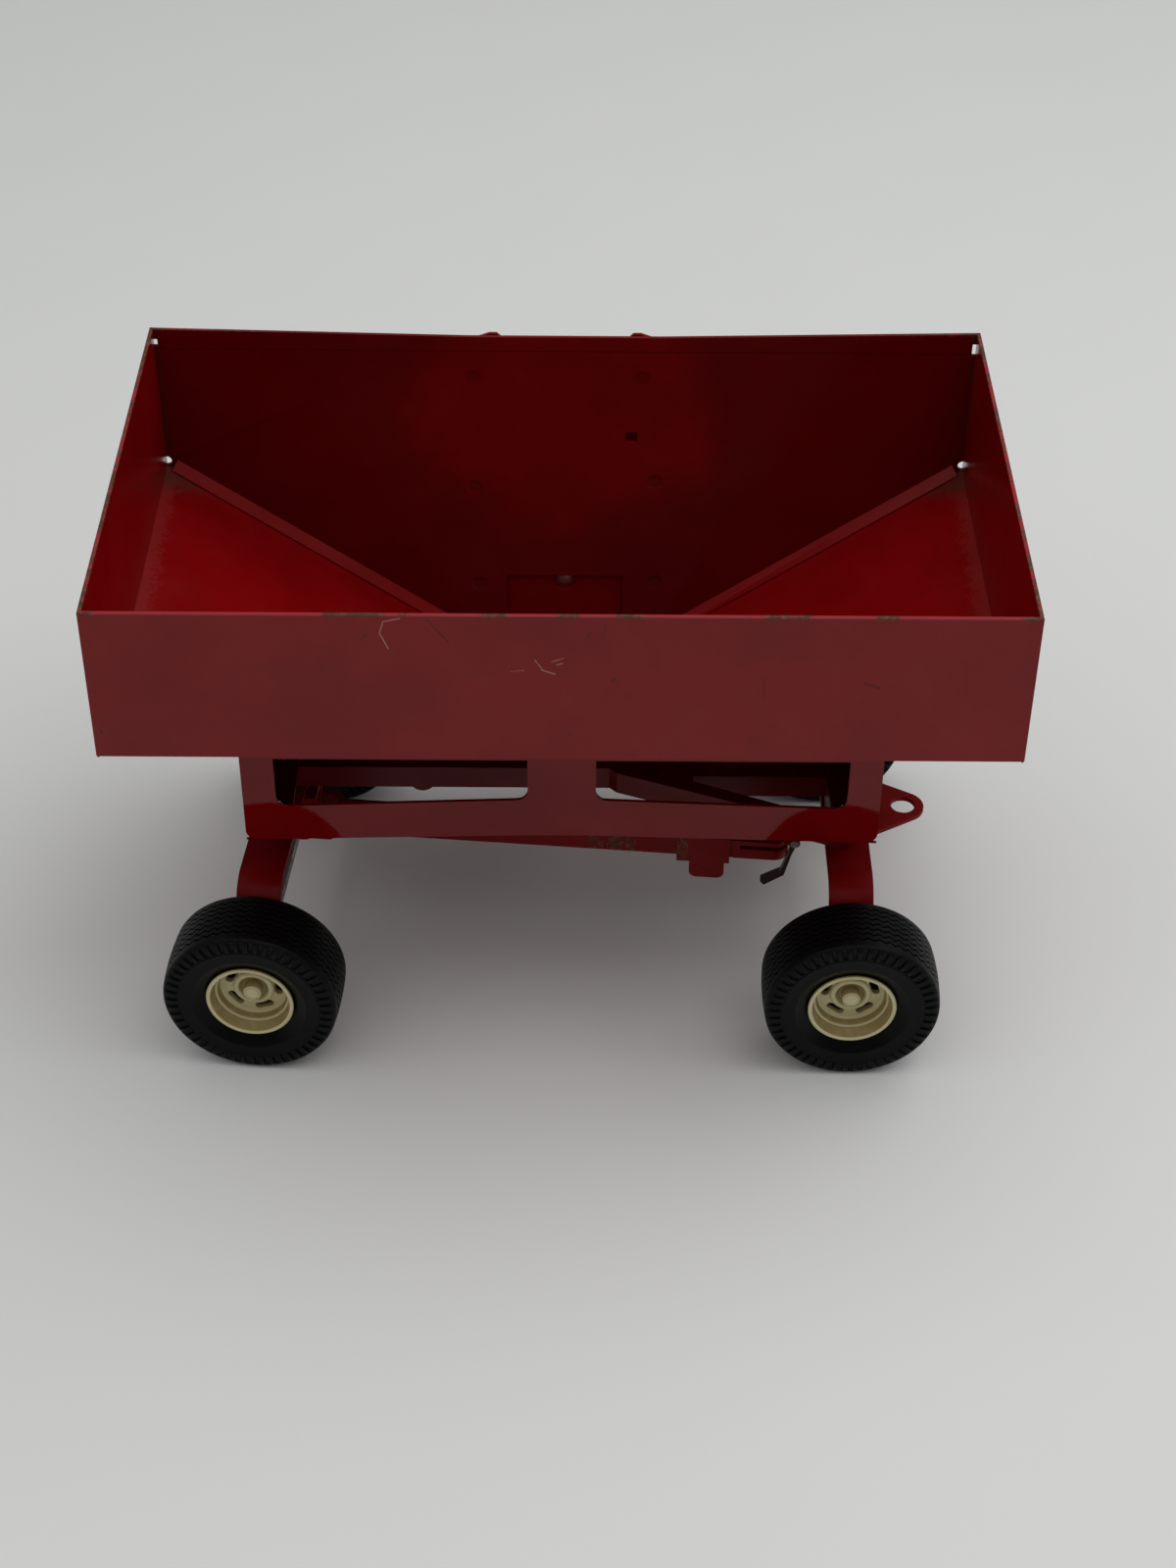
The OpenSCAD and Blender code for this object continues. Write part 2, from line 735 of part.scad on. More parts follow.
module tongue_yoke() {
    shoulder_x = 13;
    neck = bar_w / 2 - bar_t;
    color(red) in_front_frame() difference() {
        union() {
            translate([0, 0, bar_z0]) linear_extrude(bar_h) polygon([
                [pivot_x, yoke_out], [shoulder_x, yoke_out], [bar_x0, bar_w / 2],
                [bar_x0, -bar_w / 2], [shoulder_x, -yoke_out], [pivot_x, -yoke_out]]);
            translate([bar_x0 - 1, -neck, bar_z0])
                cube([9, 2 * neck, bar_h - bar_t]);
            for (side = [-1, 1])
                rod_y(pivot_x, pivot_z, side > 0 ? yoke_in : -yoke_out,
                      side > 0 ? yoke_out : -yoke_in, yoke_eye);
        }
        translate([0, 0, bar_z0 - 2]) linear_extrude(bar_h + 4) polygon([
            [-2, yoke_in], [11.8, yoke_in], [13.6, 3.4], [13.6, -3.4],
            [11.8, -yoke_in], [-2, -yoke_in]]);
        rod_y(pivot_x, pivot_z, -10, 10, pivot_r + bore_gap);
    }
}

module tongue_bar() {
    color(red) in_front_frame() translate([bar_x0, 0, bar_z0]) difference() {
        translate([0, -bar_w / 2, 0]) cube([bar_end - bar_x0, bar_w, bar_h]);
        translate([-1, -bar_w / 2 + bar_t, -1])
            cube([bar_end - bar_x0 + 2, bar_w - 2 * bar_t, bar_h + 1 - bar_t]);
    }
}

// A saddle over the bar whose two cheeks end in rounded lugs.
module tongue_saddle() {
    inner = bar_w / 2;
    outer = inner + 1.2;
    top = bar_z0 + bar_h;
    lug_r = 2;
    color(red) in_front_frame() difference() {
        slab_y(-outer, outer) {
            translate([saddle[0], saddle_z]) square([saddle[1] - saddle[0], top + 1.2 - saddle_z]);
            translate([lug[0], lug_z + lug_r]) square([lug[1] - lug[0], 5]);
            translate([lug[0] + lug_r, lug_z]) square([lug[1] - lug[0] - 2 * lug_r, 5]);
            for (x = [lug[0] + lug_r, lug[1] - lug_r]) translate([x, lug_z + lug_r])
                circle(lug_r);
        }
        translate([saddle[0] - 1, -inner, lug_z - 1])
            cube([saddle[1] - saddle[0] + 2, 2 * inner, top - lug_z + 1]);
    }
}

// The forked end of the tongue, with ears for the latch's pin.
module hitch_clevis() {
    half = bar_w / 2;
    neck = half - bar_t;
    nose = tongue_len - half;
    top = bar_z0 + bar_h;
    color(red) in_front_frame() difference() {
        union() {
            translate([bar_end - 10, -neck, bar_z0]) cube([11, 2 * neck, bar_h - bar_t]);
            translate([bar_end, -half, bar_z0]) cube([2, bar_w, bar_h]);
            for (band = [[bar_z0, jaw_low_top], [jaw_up_z, top]])
                translate([0, 0, band[0]]) {
                    translate([bar_end, -half, 0])
                        cube([nose - bar_end, bar_w, band[1] - band[0]]);
                    translate([nose, 0, 0]) cylinder(h = band[1] - band[0], r = half);
                }
            for (y0 = [-latch_half - 1.3, latch_half + 0.1]) {
                translate([nose, y0, jaw_up_z]) cube([latch_x - nose, 1.2, top - jaw_up_z]);
                rod_y(latch_x, latch_z, y0, y0 + 1.2, latch_eye);
            }
        }
        translate([jaw_hole_x, 0, bar_z0 - 1]) cylinder(h = bar_h + 2, r = jaw_hole_r);
        rod_y(latch_x, latch_z, -5, 5, latch_pin_r);
        translate([tongue_len - 0.6, -latch_half - 0.1, jaw_up_z - 1])
            cube([5, 2 * latch_half + 0.2, 5]);
    }
}

module latch_pin() {
    end = latch_half + 1.3;
    color(steel) in_front_frame() {
        rod_y(latch_x, latch_z, -end - 0.5, end + 0.5, latch_pin_r);
        for (y0 = [-end - 0.5, end]) rod_y(latch_x, latch_z, y0, y0 + 0.5, 1.2);
    }
}

// A keeper that hangs across the clevis's mouth and ends in a finger tab.
module hitch_latch() {
    t = 1.2;
    mid_z = 33;
    knee = [latch_x - 3.4, 26.5];
    tail = [latch_x - 8.2, 21.5];
    color(steel) in_front_frame() difference() {
        union() {
            rod_y(latch_x, latch_z, -latch_half, latch_half, latch_eye - 0.1);
            slab_y(-latch_half, latch_half) {
                polygon([[latch_x - 0.9, latch_z], [latch_x + 1.1, latch_z],
                         [latch_x - 0.7, mid_z], knee + [t, 0], knee + [t - 0.3, -1.1],
                         knee + [-0.3, -0.4], knee + [0, 0.2], [latch_x - 1.6, mid_z]]);
                polygon([knee + [t - 0.3, -1.1], knee + [-0.3, -0.4],
                         tail + [-0.9, 1.1], tail + [0.2, -0.2]]);
            }
        }
        rod_y(latch_x, latch_z, -5, 5, latch_pin_r + bore_gap);
    }
}

near_side_panel();
near_side_floor();
front_end_panel();
front_end_floor();
rear_end_panel();
rear_end_floor();
door_side_wall();
front_seam_flange();
rear_seam_flange();
front_door_guide();
rear_door_guide();
outlet_lip();
stand_near_panel();
stand_front_gusset();
stand_rear_gusset();
stand_front_plate();
stand_rear_plate();
front_bolster_plate();
rear_bolster_plate();
rear_bolster();
rear_bolster_rivets();
reach_channel();
rear_reach();
near_hound();
far_hound();
kingpin();
kingpin_spacer();
rear_axle_strap();
rear_axle();
rear_hitch_plate();
rear_near_cap();
rear_far_cap();
door();
door_pull();
door_rivet();
front_axle_strap();
front_axle();
front_near_cap();
front_far_cap();
tongue_bracket();
tongue_pin();
tongue_yoke();
tongue_bar();
tongue_saddle();
hitch_clevis();
latch_pin();
hitch_latch();
front_near_rim();
front_near_tyre();
front_far_rim();
front_far_tyre();
rear_near_rim();
rear_near_tyre();
rear_far_rim();
rear_far_tyre();
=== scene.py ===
"""Looks for a pressed-steel toy gravity wagon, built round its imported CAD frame.

Metres, in the frame of the CAD: +X to the rear hitch, +Y to the door, +Z up.
Profiles and the places of marks are written in mm, and turned into metres by MM.
"""

import math

import bmesh
import bpy
from mathutils import Matrix, Vector


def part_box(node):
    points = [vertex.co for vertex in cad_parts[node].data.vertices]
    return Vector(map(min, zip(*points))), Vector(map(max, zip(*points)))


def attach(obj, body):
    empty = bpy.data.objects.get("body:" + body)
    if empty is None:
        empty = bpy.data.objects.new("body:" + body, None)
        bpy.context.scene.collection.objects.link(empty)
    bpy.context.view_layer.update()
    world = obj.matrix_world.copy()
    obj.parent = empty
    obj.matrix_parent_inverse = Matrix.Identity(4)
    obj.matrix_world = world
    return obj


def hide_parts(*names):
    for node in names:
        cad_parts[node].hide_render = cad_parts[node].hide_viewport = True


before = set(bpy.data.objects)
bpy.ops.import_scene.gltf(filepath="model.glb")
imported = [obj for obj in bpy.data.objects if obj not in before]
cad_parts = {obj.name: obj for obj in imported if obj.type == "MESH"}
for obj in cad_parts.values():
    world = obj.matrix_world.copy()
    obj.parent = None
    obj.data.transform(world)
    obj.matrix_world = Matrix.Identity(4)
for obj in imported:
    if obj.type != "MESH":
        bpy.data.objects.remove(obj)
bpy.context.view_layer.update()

MM = 0.001
SCENE = bpy.context.scene

# ---- measures read from the frame, in mm ----


def box_mm(node):
    """A node's lowest and highest corners at rest."""
    lo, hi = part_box(node)
    return [v / MM for v in lo], [v / MM for v in hi]


RIM_Z = box_mm("near_side_panel")[1][2]
NEAR_Y = box_mm("near_side_panel")[0][1]
FAR_Y = box_mm("door_side_wall")[1][1]
TYRE_R = box_mm("rear_near_tyre")[1][2] / 2
STEER = math.radians(-5)    # how the front axle stands at rest
KINGPIN = [(a + b) / 2 for a, b in zip(*box_mm("kingpin"))]
REAR_AXLE_X = (box_mm("rear_axle")[0][0] + box_mm("rear_axle")[1][0]) / 2


def wheel_out(node):
    """How far a near wheel's middle plane stands out from its axle's middle."""
    lo, hi = box_mm(node)
    return -(lo[1] + hi[1]) / 2


STRAP_HALF = box_mm("rear_axle_strap")[1][1]
REAR_WHEEL_Y = wheel_out("rear_near_tyre")
FRONT_WHEEL_Y = wheel_out("front_near_tyre") / math.cos(STEER)


# ---- node graphs ----


class Graph:
    """A small helper that builds a material's nodes."""

    def __init__(self, name):
        self.mat = bpy.data.materials.new(name)
        self.mat.use_nodes = True
        self.tree = self.mat.node_tree
        self.tree.nodes.clear()
        out = self.tree.nodes.new("ShaderNodeOutputMaterial")
        self.shader = self.tree.nodes.new("ShaderNodeBsdfPrincipled")
        self.tree.links.new(self.shader.outputs[0], out.inputs[0])
        self.object = self.node("ShaderNodeTexCoord").outputs["Object"]
        split = self.node("ShaderNodeSeparateXYZ", {0: self.object})
        self.x, self.y, self.z = split.outputs

    def put(self, socket, value):
        """Links a socket to a socket, or sets it to a number or a colour."""
        if isinstance(value, bpy.types.NodeSocket):
            self.tree.links.new(value, socket)
        elif isinstance(value, (tuple, list)) and len(value) == 3 and socket.type == "RGBA":
            socket.default_value = (*value, 1)
        else:
            socket.default_value = value

    def node(self, kind, values=None, **settings):
        """Adds a node, with values by input and its settings by name."""
        n = self.tree.nodes.new(kind)
        for k, v in settings.items():
            setattr(n, k, v)
        for k, v in (values or {}).items():
            self.put(n.inputs[k], v)
        return n

    def calc(self, op, *values, clamp=False):
        """A Math node's result."""
        n = self.node("ShaderNodeMath", dict(enumerate(values)), operation=op)
        n.use_clamp = clamp
        return n.outputs[0]

    def noise(self, size, detail=3.0, rough=0.5, stretch=None, seed=0.0):
        """Noise from 0 to 1 whose features are about size metres wide."""
        where = self.object
        if stretch or seed:
            where = self.node(
                "ShaderNodeMapping",
                {0: where, 1: (seed, seed * 0.7, -seed), 3: stretch or (1, 1, 1)},
            ).outputs[0]
        n = self.node(
            "ShaderNodeTexNoise",
            {"Vector": where, "Scale": 1 / size, "Detail": detail, "Roughness": rough},
        )
        return n.outputs[0]

    def step(self, value, low, high, to_low=0.0, to_high=1.0):
        """A smooth step of value from low to high."""
        return self.node(
            "ShaderNodeMapRange",
            {0: value, 1: low, 2: high, 3: to_low, 4: to_high},
            interpolation_type="SMOOTHSTEP",
        ).outputs[0]

    def mix(self, share, a, b):
        """Colour a where share is 0, and b where it's 1."""
        n = self.node("ShaderNodeMix", data_type="RGBA")
        self.put(n.inputs[0], share)
        self.put(n.inputs[6], a)
        self.put(n.inputs[7], b)
        return n.outputs[2]

    def from_axis(self):
        """Distance from the object's own Z axis, in metres."""
        return self.calc("SQRT", self.calc(
            "MULTIPLY_ADD", self.x, self.x, self.calc("MULTIPLY", self.y, self.y)))

    def within(self, value, low, high, soft):
        """1 where value lies between low and high, with soft ends."""
        return self.calc("MULTIPLY", self.step(value, low - soft, low),
                         self.step(value, high, high + soft, 1.0, 0.0))

    def spans(self, pairs):
        """1 where x lies in one of the spans, given in mm, with wavering ends."""
        waver = 4.0     # mm that the ends waver over
        wavy = self.calc("MULTIPLY", self.noise(0.002, 3, 0.6, seed=5.3), waver * MM)
        wavy = self.calc("ADD", self.x, wavy)
        best = None
        for x0, x1 in pairs:
            on = self.within(wavy, (x0 + waver / 2) * MM, (x1 + waver / 2) * MM, 0.0006)
            best = on if best is None else self.calc("MAXIMUM", best, on)
        return best

    def strokes(self, lines, soft=0.12):
        """1 on polylines of (x, z) points in mm, each with its half width."""
        best = None
        jitter_mean = 0.12     # mm, taken back off by widening each line
        jitter = self.calc("MULTIPLY", self.noise(0.0006, 3, 0.7, seed=6.6), 0.25)
        for points, half in lines:
            for (x0, z0), (x1, z1) in zip(points, points[1:]):
                away = self.calc("MULTIPLY", self.distance(x0, z0, x1, z1), 1 / MM)
                away = self.calc("ADD", away, jitter)
                wide = half + jitter_mean
                on = self.step(away, wide, wide + soft, 1.0, 0.0)
                best = on if best is None else self.calc("MAXIMUM", best, on)
        return best

    def distance(self, x0, z0, x1, z1):
        """Distance in X and Z from a segment given in mm, in metres."""
        dx, dz = (x1 - x0) * MM, (z1 - z0) * MM
        along = dx * dx + dz * dz
        px = self.calc("SUBTRACT", self.x, x0 * MM)
        pz = self.calc("SUBTRACT", self.z, z0 * MM)
        dot = self.calc("MULTIPLY_ADD", px, dx / along, self.calc("MULTIPLY", pz, dz / along))
        t = self.calc("MULTIPLY", dot, 1.0, clamp=True)
        ex = self.calc("MULTIPLY_ADD", t, -dx, px)
        ez = self.calc("MULTIPLY_ADD", t, -dz, pz)
        return self.calc("SQRT", self.calc("MULTIPLY_ADD", ex, ex, self.calc("MULTIPLY", ez, ez)))

    def edges(self, radius):
        """Above 0 within about radius of a sharp edge, and 0 away from it."""
        soft = self.node("ShaderNodeBevel", {"Radius": radius}, samples=6).outputs[0]
        true = self.node("ShaderNodeNewGeometry").outputs["Normal"]
        same = self.node("ShaderNodeVectorMath", {0: soft, 1: true}, operation="DOT_PRODUCT")
        return self.calc("SUBTRACT", 1.0, same.outputs["Value"])

    def bump(self, *layers):
        """layers are (height socket, height in metres)."""
        normal = None
        for height, depth in layers:
            n = self.node(
                "ShaderNodeBump", {"Height": height, "Strength": 1.0, "Distance": depth}
            )
            if normal is not None:
                self.put(n.inputs["Normal"], normal)
            normal = n.outputs[0]
        self.put(self.shader.inputs["Normal"], normal)

    def finish(self, **values):
        """Sets the shader's own sockets and gives back the material."""
        names = {"color": "Base Color", "rough": "Roughness", "metal": "Metallic",
                 "spec": "Specular IOR Level"}
        for k, v in values.items():
            self.put(self.shader.inputs[names[k]], v)
        return self.mat


# ---- colours, linear ----

RED = (0.262, 0.0016, 0.003)
RED_DEEP = (0.215, 0.0009, 0.002)
RED_DUSTY = (0.28, 0.055, 0.047)
BARE = (0.085, 0.034, 0.018)
BARE_PALE = (0.2, 0.1, 0.055)
RIM_HIGHLIGHT = (0.4, 0.035, 0.045)
CORNER_DIRT = (0.075, 0.03, 0.018)
SCRATCH = (0.5, 0.24, 0.2)
DARK_MARK = (0.1, 0.002, 0.003)
SHADED_RED = (0.05, 0.0004, 0.0006)
CREAM_PALE = (0.72, 0.66, 0.4)
CREAM_DEEP = (0.64, 0.56, 0.3)
OCHRE = (0.36, 0.24, 0.07)
OCHRE_DARK = (0.27, 0.185, 0.06)
BROWN_SPECK = (0.2, 0.14, 0.06)
SLOT_AND_BACK_SHADE = (0.008, 0.007, 0.004)
RUBBER = (0.0012, 0.0014, 0.0019)
RUBBER_FILM = (0.0028, 0.0029, 0.0034)
RUBBER_DUST_AND_GLINT = (0.03, 0.028, 0.026)
RUBBER_GAP_SHADE = (0.0003, 0.0003, 0.0003)
RUBBER_DISH_REFLECTION = (0.0004, 0.0004, 0.0004)
FLOOR_PALE = (0.9, 0.91, 0.89)
FLOOR_DEEP = (0.88, 0.89, 0.87)

# ---- where the marks and the dirt lie ----

# Marks on the near side, as points (x, z) in mm, and their half width.
PALE_SCRATCHES = [
    ([(-38.0, 152.6), (-42.0, 151.6), (-43.0, 148.3), (-41.1, 143.7)], 0.07),
    ([(-6.2, 140.6), (-4.5, 138.0)], 0.05), ([(-4.5, 137.6), (-1.4, 136.4)], 0.11),
    ([(-2.2, 140.0), (0.7, 141.2)], 0.04), ([(-11.9, 137.1), (-8.7, 137.5)], 0.0),
    ([(-0.9, 139.2), (0.4, 139.6)], 0.08), ([(-91.6, 132.8), (-81.8, 123.6)], -0.09),
    ([(-44.8, 125.0), (-30.3, 115.7)], -0.1), ([(96.0, 139.4), (96.8, 131.2)], -0.08),
]
DARK_MARKS = [
    ([(-31.7, 152.3), (-26.6, 145.8)], 0.16), ([(10.6, 151.6), (10.0, 147.7)], 0.1),
    ([(6.0, 147.3), (7.3, 148.9)], 0.14),
    ([(12.5, 134.4), (12.9, 135.0)], 0.4), ([(73.3, 134.3), (76.6, 132.9)], 0.4),
    ([(2.0, 118.2), (2.5, 117.8)], 0.3), ([(-47.4, 146.4), (-46.0, 148.0)], 0.13),
    ([(-57.3, 137.5), (-57.0, 137.8)], 0.25), ([(-112.3, 118.4), (-112.0, 117.6)], 0.3),
    ([(48.8, 135.9), (49.1, 129.8)], 0.07),
]
# Where the near side's rim is chipped bare: from x to x, in mm.
RIM_CHIPS = [(-115, -110.5), (-56, -42), (-38, -36), (-19, -12.5), (-0.5, 4), (13, 20),
             (49, 60), (75, 79.5), (109.5, 115)]
# Spot welds on the door wall: (x, z) and half width, in mm.
SPOT_WELDS = [(-25.8, 138.7), (21.4, 138.7), (-25.8, 102.7), (25.7, 104.8), (-25.0, 69.1),
              (26.5, 69.9)]
WELD_HALF = 1.3
# The folded hem along the door wall's rim starts softly between these, in mm down.
HEM = (6.4, 6.0)
# Inside, the door wall gets painted shade outside a soft circle round x = 0 and this
# z, whose edge lies between these radii, in m, and stays paler within it.
SHADE_CENTRE_Z = 0.13
SHADE_EDGE = (0.045, 0.065)
# Where dirt begins and is full, in m: the door wall's end corners along |x|, the
# slopes' creases along |x|, and the slopes' far corners along y + |x|.
WALL_CORNER = (0.1112, 0.1124)
CREASE_DUST = (0.1145, 0.118)
FAR_CORNER = (0.168, 0.178)
# Rings of the rim and the tyre, as radii in m.
BOWL_WALL = (0.0101, 0.0107)
STEP_CORNER = (0.0092, 0.0094)
HUB_RING = (0.0026, 0.0038)
TYRE_DISH = (0.0118, 0.01545)


def enamel(name, chips=0.5, rim=None, rubbed=None, dusty=0.25, gloss=0.12, marks=False,
           welds=False, crease=False, shade=1.0, spec=0.28):
    """Glossy red enamel: orange peel, dust, and chips along the edges.

    chips is how worn the edges are, and below about -1 they aren't worn at all. rim is
    "listed" for the near side's own chips or "any" for scattered ones, and either way it
    adds a painted highlight along the rim's top edge. rubbed lists spans of x that have
    worn through. marks adds the near side's scratches, welds the door wall's dimples
    with painted shade in them, its hem and corner dirt, and painted shade inside away
    from its middle, and crease the dust in the slopes' folds. shade scales the paint's
    tone, which on the door wall and the parts under the box is painted shade, and spec
    its reflections.
    """
    g = Graph(name)
    paint = tuple(shade * c for c in RED)
    paint_deep = tuple(shade * c for c in RED_DEEP)
    patch = g.noise(0.035, 4, 0.6)
    fine = g.noise(0.0009, 2, 0.6)
    grit = g.noise(0.0016, 5, 0.75, seed=3.1)
    color = g.mix(g.step(patch, 0.35, 0.7), paint, paint_deep)

    film = g.calc("MULTIPLY", g.step(g.noise(0.02, 5, 0.7, seed=1.7), 0.45, 0.8), dusty)
    speck = g.calc("MULTIPLY", g.step(fine, 0.72, 0.8), 0.3 * dusty)
    dust = g.calc("MAXIMUM", film, speck)
    color = g.mix(dust, color, RED_DUSTY)
    peppered = g.step(g.noise(0.0011, 2, 0.5, seed=12.0), 0.76, 0.8)
    color = g.mix(g.calc("MULTIPLY", peppered, 0.6), color, DARK_MARK)

    edge = g.edges(0.0005)
    where = g.step(g.noise(0.011, 3, 0.6, seed=7.7), 0.66 - 0.16 * chips, 0.74 - 0.16 * chips)
    worn = g.calc("MULTIPLY", where, g.step(grit, 0.42, 0.5))
    worn = g.calc("MULTIPLY", worn, g.step(edge, 0.012, 0.05))
    if rim:
        # a painted highlight, a paler line along the rim's top edge, and bare metal with a ragged
        # lower edge
        line = g.step(g.z, (RIM_Z - 0.45) * MM, (RIM_Z - 0.25) * MM, 0.0, 0.75)
        color = g.mix(line, color, RIM_HIGHLIGHT)
        ragged = g.calc("MULTIPLY_ADD", grit, 0.0026, g.z)
        top = g.step(ragged, (RIM_Z + 0.6) * MM, (RIM_Z + 0.95) * MM)
        if rim == "listed":
            bare = g.spans(RIM_CHIPS)
        else:
            bare = g.step(g.noise(0.007, 6, 0.75, seed=5.3), 0.46, 0.5)
        bare = g.calc("MULTIPLY", bare, g.step(g.noise(0.0014, 3, 0.7, seed=6.6), 0.38, 0.48))
        worn = g.calc("MAXIMUM", worn, g.calc("MULTIPLY", top, bare))
    if crease:
        # dust lying along the crease under the end wall, and in the far corner
        ragged = g.calc("MULTIPLY_ADD", grit, 0.012, g.calc("ABSOLUTE", g.x))
        lying = g.step(ragged, *CREASE_DUST, 0.0, 0.24)
        color = g.mix(lying, color, RED_DUSTY)
        far = g.calc("MULTIPLY_ADD", grit, 0.012, g.calc("ADD", g.y, g.calc("ABSOLUTE", g.x)))
        color = g.mix(g.step(far, *FAR_CORNER, 0.0, 0.7), color, CORNER_DIRT)
    if rubbed:
        patches = g.calc("MULTIPLY", g.spans(rubbed), g.step(grit, 0.46, 0.54))
        worn = g.calc("MAXIMUM", worn, g.calc("MULTIPLY", patches, 0.9))
    metal_tone = g.mix(g.step(g.noise(0.002, 4, 0.7, seed=9.0), 0.45, 0.7), BARE, BARE_PALE)
    color = g.mix(worn, color, metal_tone)

    layers = [(g.noise(0.03, 2, 0.4, seed=4.0), 0.0003), (fine, 0.000008), (worn, -0.00004)]
    if marks:
        outside = g.step(g.y, (NEAR_Y + 0.4) * MM, (NEAR_Y + 0.5) * MM, 1.0, 0.0)
        pale = g.calc("MULTIPLY", outside, g.strokes(PALE_SCRATCHES))
        dark = g.calc("MULTIPLY", outside, g.strokes(DARK_MARKS))
        color = g.mix(g.calc("MULTIPLY", pale, 0.85), color, SCRATCH)
        color = g.mix(g.calc("MULTIPLY", dark, 0.75), color, DARK_MARK)
        layers.append((g.calc("MAXIMUM", pale, dark), -0.00003))
    if welds:
        # a weld is a stroke too short to see as one
        dots = [([w, (w[0] + 0.01, w[1])], WELD_HALF) for w in SPOT_WELDS]
        dents = g.strokes(dots, soft=1.4)
        hem = g.step(g.z, (RIM_Z - HEM[0]) * MM, (RIM_Z - HEM[1]) * MM)
        layers += [(dents, -0.00025), (hem, 0.00012)]
        # painted shade in the weld dimples, darkening them
        color = g.mix(g.calc("MULTIPLY", dents, 0.4), color, DARK_MARK)
        corner = g.step(g.calc("ABSOLUTE", g.x), *WALL_CORNER, 0.0, 0.7)
        color = g.mix(g.calc("MULTIPLY", corner, g.step(grit, 0.35, 0.6)), color, CORNER_DIRT)
        # inside, painted shade that darkens the wall away from its middle
        up = g.calc("POWER", g.calc("SUBTRACT", g.z, SHADE_CENTRE_Z), 2)
        away = g.calc("SQRT", g.calc("MULTIPLY_ADD", g.x, g.x, up))
        uneven = g.calc("MULTIPLY", g.noise(0.02, 4, 0.6), 0.03)
        painted_shade = g.step(g.calc("ADD", away, uneven), *SHADE_EDGE)
        inside = g.step(g.y, (FAR_Y - 0.5) * MM, (FAR_Y - 0.4) * MM, 1.0, 0.0)
        painted_shade = g.calc("MULTIPLY", painted_shade, inside)
        color = g.mix(g.calc("MULTIPLY", painted_shade, 0.45), color, SHADED_RED)

    rough = g.calc("MULTIPLY", g.noise(0.008, 4, 0.6, seed=2.2), min(gloss, 0.1))
    rough = g.calc("ADD", rough, gloss)
    rough = g.calc("ADD", rough, g.calc("MULTIPLY", dust, 0.35))
    rough = g.calc("ADD", rough, g.calc("MULTIPLY", worn, 0.3), clamp=True)
    g.bump(*layers)
    return g.finish(color=color, rough=rough, spec=spec)


def plastic(name):
    """Aged cream plastic with brown dust where it's deep, dust and painted shade on the bowl's
    wall, and painted shade in the slots and on the inner side.
    """
    g = Graph(name)
    tone = g.mix(g.step(g.noise(0.012, 4, 0.6), 0.3, 0.7), CREAM_PALE, CREAM_DEEP)
    near = g.node("ShaderNodeAmbientOcclusion", {"Distance": 0.003}, samples=8).outputs["AO"]
    deep = g.step(near, 0.95, 0.35)
    grime = g.calc("MULTIPLY", deep, g.step(g.noise(0.0025, 5, 0.7, seed=6.0), 0.2, 0.7, 0.5, 1.0))
    tone = g.mix(g.calc("MULTIPLY", grime, 0.75), tone, OCHRE)
    # ochre dust in the step's corner and round the hub; on the bowl's wall the darker ochre is
    # partly dust and partly painted shade, where the box above keeps the light off
    away = g.from_axis()
    wall = g.within(away, *BOWL_WALL, 0.0002)
    groove = g.within(away, *STEP_CORNER, 0.0003)
    hub = g.within(away, *HUB_RING, 0.0004)
    uneven = g.step(g.noise(0.003, 5, 0.7, seed=11.0), 0.25, 0.6, 0.75, 1.0)
    dust = g.calc("MAXIMUM", g.calc("MULTIPLY", wall, 0.85), g.calc("MULTIPLY", hub, 0.75))
    dust = g.calc("MAXIMUM", dust, g.calc("MULTIPLY", groove, 0.9))
    outer = g.step(g.z, 0.0, 0.001)
    dust = g.calc("MULTIPLY", g.calc("MULTIPLY", dust, outer), uneven)
    tone = g.mix(dust, tone, OCHRE_DARK)
    # painted shade: near black below z = 0.6 mm, in the slots and over the wheel's inner side
    tone = g.mix(g.step(g.z, 0.0006, 0.0002), tone, SLOT_AND_BACK_SHADE)
    speck = g.step(g.noise(0.0006, 2, 0.5, seed=2.0), 0.72, 0.78)
    tone = g.mix(g.calc("MULTIPLY", speck, 0.5), tone, BROWN_SPECK)
    rough = g.calc("ADD", 0.33, g.calc("MULTIPLY", g.noise(0.004, 4, 0.6, seed=8.0), 0.2))
    g.bump((g.noise(0.0012, 3, 0.6), 0.00002))
    return g.finish(color=tone, rough=rough)


